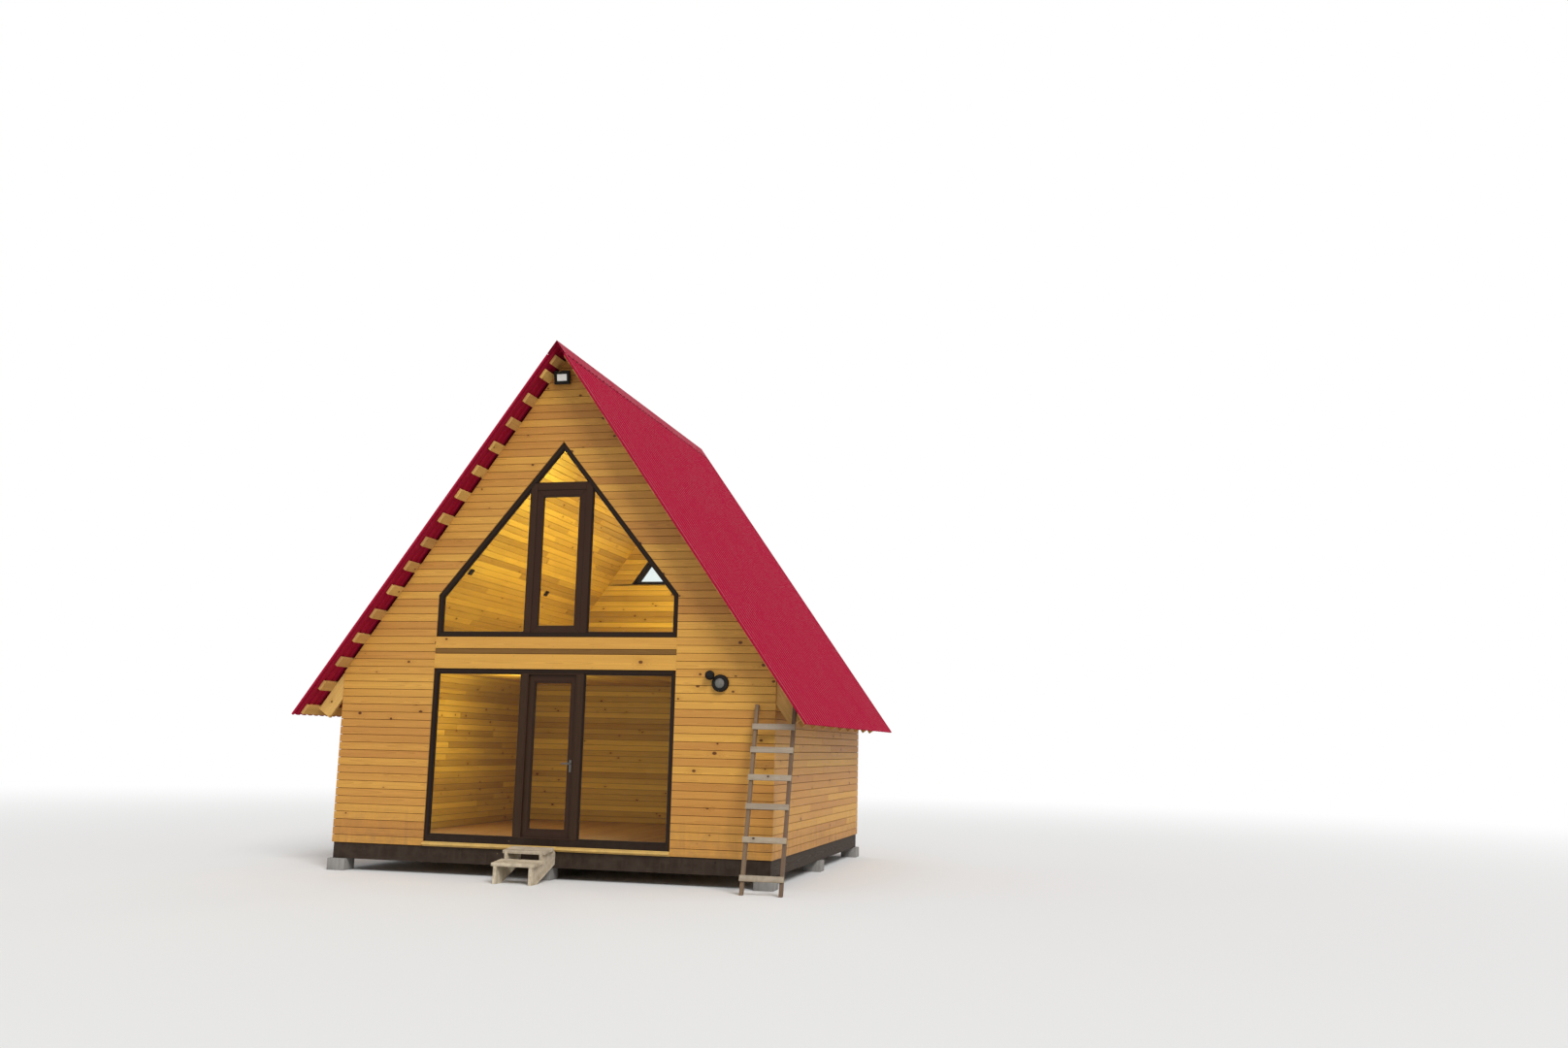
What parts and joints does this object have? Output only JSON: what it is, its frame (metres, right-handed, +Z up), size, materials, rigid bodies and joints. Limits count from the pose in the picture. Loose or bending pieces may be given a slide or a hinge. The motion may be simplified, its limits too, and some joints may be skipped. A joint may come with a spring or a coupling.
{
  "type": "a-frame cabin",
  "caption": "Small timber A-frame cabin on low side walls, ribbed metal roof, glazed front with a hinged glass door, five-sided attic window, three-sided back window, steps and a leaning ladder.",
  "frame": {"origin": "on the ground under the middle of the floor, the middle of the centre pier's foot", "axes": "+Z up, -Y out of the glazed front, +X to the right seen from the front"},
  "size_m": [6.865, 6.7542, 6.8465],
  "materials": {
    "pier_concrete": null,
    "dark_timber": "dark preservative stain",
    "raw_timber": "sawn softwood",
    "floor_boards": "planed boards, satin",
    "pine_cladding": "golden stained pine boards, satin",
    "window_frame": "dark brown window profile, satin",
    "glass": "clear double glazing",
    "pale_board": "pale sawn boards",
    "hardware": "dark satin metal",
    "lining_boards": "clear pine lining boards, satin",
    "roof_sheet": "wine red coated steel",
    "lamp_housing": "black, matte",
    "lamp_lens": "frosted white",
    "step_boards": "worn pale planks",
    "ladder_wood": "weathered grey-brown wood"
  },
  "bodies": {
    "cabin": {"foundation_piers": "pier_concrete", "long_beams": "dark_timber", "end_beams": "dark_timber", "floor_joists": "raw_timber", "ground_floor": "floor_boards", "side_walls": "pine_cladding", "front_wall_left": "pine_cladding", "front_wall_right": "pine_cladding", "storey_band": "pine_cladding", "front_gable_left": "pine_cladding", "front_gable_right": "pine_cladding", "back_wall_left": "pine_cladding", "back_wall_right": "pine_cladding", "back_wall_middle": "pine_cladding", "back_gable_left": "pine_cladding", "back_gable_right": "pine_cladding", "glazing_frame": "window_frame", "side_glass": "glass", "door_sill": "pale_board", "frame_hinges": "hardware", "attic_window_frame": "window_frame", "back_window_frame": "window_frame", "attic_sashes": "window_frame", "attic_glass": "glass", "ground_ceiling": "lining_boards", "attic_joists": "raw_timber", "attic_floor": "floor_boards", "attic_lining": "lining_boards", "ridge_board": "raw_timber", "rafters": "raw_timber", "eave_blocking": "pine_cladding", "battens": "pale_board", "roof_sheets_left": "roof_sheet", "roof_sheets_right": "roof_sheet", "ridge_cap": "roof_sheet", "rake_trims": "roof_sheet", "flood_lamp": "lamp_housing", "wall_lamp": "lamp_housing", "lamp_lenses": "lamp_lens", "step_treads": "step_boards", "step_stringers": "step_boards", "ladder_stiles": "ladder_wood", "ladder_rungs": "ladder_wood", "lining_boxes": "lamp_housing"},
    "door": {"door_leaf": "window_frame", "door_glass": "glass", "door_handle": "hardware", "leaf_hinges": "hardware"}
  },
  "joints": [
    {"name": "door_hinge", "type": "hinge", "parent": "cabin", "child": "door", "pos_m": [-0.363, -2.719, 1.5], "axis": [0, 0, 1], "range_deg": [0, 90]}
  ]
}
